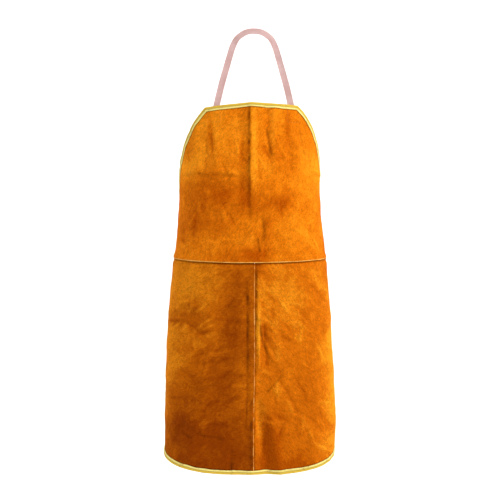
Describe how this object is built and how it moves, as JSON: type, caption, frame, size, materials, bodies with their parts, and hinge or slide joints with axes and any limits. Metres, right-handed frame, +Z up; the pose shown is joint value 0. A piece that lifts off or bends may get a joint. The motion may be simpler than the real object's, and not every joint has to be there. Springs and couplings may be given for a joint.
{
  "type": "welding apron",
  "caption": "Bib-style split-leather welding apron with a seamed skirt, bound edges, a neck strap and a buckled waist strap behind.",
  "frame": {"origin": "middle of the neck strap's crown, on its inner face, where it lies on the neck or on a hook", "axes": "+Z up, -Y out of the apron's front, +X to the right seen from the front"},
  "size_m": [0.5027, 0.1623, 1.2909],
  "materials": {
    "bib_leather": "suede",
    "skirt_leather": "suede",
    "welt_leather": "raw edge",
    "binding_tape": "woven",
    "strap_webbing": "woven",
    "buckle_plastic": "moulded"
  },
  "bodies": {
    "neck_loop": {"neck_strap": "strap_webbing"},
    "apron": {"bib_panel": "bib_leather", "skirt_panel_left": "skirt_leather", "skirt_panel_right": "skirt_leather", "strap_patch_left": "bib_leather", "strap_patch_right": "bib_leather", "waist_seam_welt": "welt_leather", "centre_seam_welt": "welt_leather", "bib_top_binding": "binding_tape", "armhole_binding_left": "binding_tape", "armhole_binding_right": "binding_tape", "bib_side_binding_left": "binding_tape", "bib_side_binding_right": "binding_tape", "skirt_side_binding_left": "binding_tape", "skirt_side_binding_right": "binding_tape", "hem_binding_left": "binding_tape", "hem_binding_right": "binding_tape", "neck_strap_end_left": "strap_webbing", "neck_strap_end_right": "strap_webbing", "waist_strap_left": "strap_webbing", "waist_strap_right": "strap_webbing", "buckle_socket": "buckle_plastic"},
    "plug": {"buckle_plug": "buckle_plastic"},
    "prong_upper": {"buckle_prong_upper": "buckle_plastic"},
    "prong_lower": {"buckle_prong_lower": "buckle_plastic"},
    "keeper": {"strap_keeper": "buckle_plastic"}
  },
  "joints": [
    {"name": "bib_swing", "type": "hinge", "parent": "neck_loop", "child": "apron", "pos_m": [0.00045, -0.02666, -0.21119], "axis": [-0.9992, -0.0391, 0], "range_deg": [-25, 75]},
    {"name": "buckle_release", "type": "slide", "parent": "apron", "child": "plug", "axis": [1, 0, 0], "range_m": [0, 0.022], "deforming": ["waist_strap_right", "buckle_prong_upper", "buckle_prong_lower"]},
    {"name": "prong_press", "type": "hinge", "parent": "plug", "child": "prong_upper", "pos_m": [-0.01218, 0.07768, -0.52199], "axis": [0, -1, 0], "range_deg": [0, 9]},
    {"name": "prong_press_lower", "type": "hinge", "parent": "plug", "child": "prong_lower", "pos_m": [-0.01218, 0.07768, -0.54239], "axis": [0, 1, 0], "range_deg": [0, 9]},
    {"name": "keeper_slide", "type": "slide", "parent": "apron", "child": "keeper", "axis": [1, 0, 0], "range_m": [-0.025, 0.012]}
  ],
  "couplings": [
    {"joint": "prong_press_lower", "follows": "prong_press", "ratio": 1}
  ]
}
